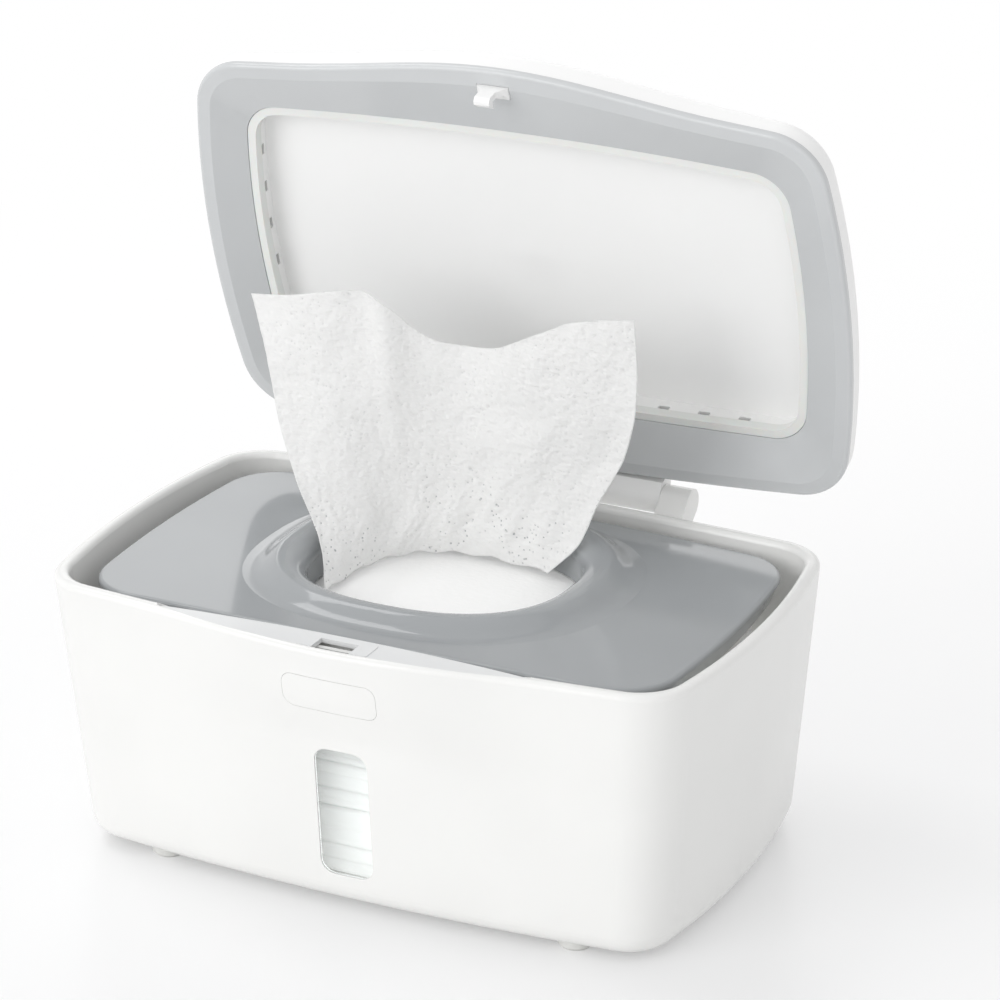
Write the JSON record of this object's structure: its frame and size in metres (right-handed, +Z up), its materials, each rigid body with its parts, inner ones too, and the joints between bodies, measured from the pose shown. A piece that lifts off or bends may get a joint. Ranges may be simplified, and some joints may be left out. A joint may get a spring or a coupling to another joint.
{
  "type": "wipes dispenser",
  "caption": "Tabletop wipes dispenser: tapered tub with a window, sealed hinged lid, push-button catch and a weighted plate with an oval hole over a stack of folded wipes.",
  "frame": {"origin": "on the table, under the middle of the box round the open dispenser", "axes": "+X to the right seen from the front, +Y to the rear (hinge side), +Z up; the front with the window faces -Y"},
  "size_m": [0.241, 0.176, 0.2618],
  "materials": {
    "white_gloss": "glossy white ABS, moulded",
    "white_inner": "white ABS, satin gloss",
    "grey_gloss": "glossy cool grey ABS, moulded",
    "deck_grey": "satin light grey plastic",
    "clear": "clear polystyrene, polished",
    "silicone": "white silicone, satin",
    "foot_rubber": "white elastomer, matte",
    "steel": "plain steel",
    "spring_steel": "spring steel wire",
    "nonwoven": "white embossed nonwoven wipe, damp"
  },
  "bodies": {
    "base": {"base_tub": "white_gloss", "window_pane": "clear", "latch_deck": "deck_grey", "hinge_pin": "steel", "hinge_spring": "spring_steel", "release_spring": "spring_steel", "foot_front_left": "foot_rubber", "foot_front_right": "foot_rubber", "foot_rear_left": "foot_rubber", "foot_rear_right": "foot_rubber", "wipe_stack": "nonwoven"},
    "lid": {"lid_shell": "white_gloss", "lid_frame": "grey_gloss", "lid_seal": "silicone", "latch_hook": "white_inner"},
    "button": {"release_button": "white_gloss"},
    "plate": {"plate_cover": "grey_gloss", "plate_tray": "grey_gloss", "plate_screws": "steel", "weight_left": "steel", "weight_right": "steel", "pulled_wipe": "nonwoven"}
  },
  "joints": [
    {"name": "lid_hinge", "type": "hinge", "parent": "base", "child": "lid", "pos_m": [0, 0.0754, 0.1013], "axis": [1, 0, 0], "range_deg": [0, 75.3], "stiffness_Nm_per_rad": 0.13, "springref_deg": -34.38, "deforming": ["pulled_wipe"]},
    {"name": "button_press", "type": "slide", "parent": "base", "child": "button", "axis": [0, 1, 0], "range_m": [0, 0.0026], "stiffness_N_per_m": 700, "springref_m": -0.0015, "deforming": ["release_spring"]},
    {"name": "plate_slide", "type": "slide", "parent": "base", "child": "plate", "axis": [0, 0, 1], "range_m": [-0.074, 0], "deforming": ["wipe_stack"]}
  ]
}
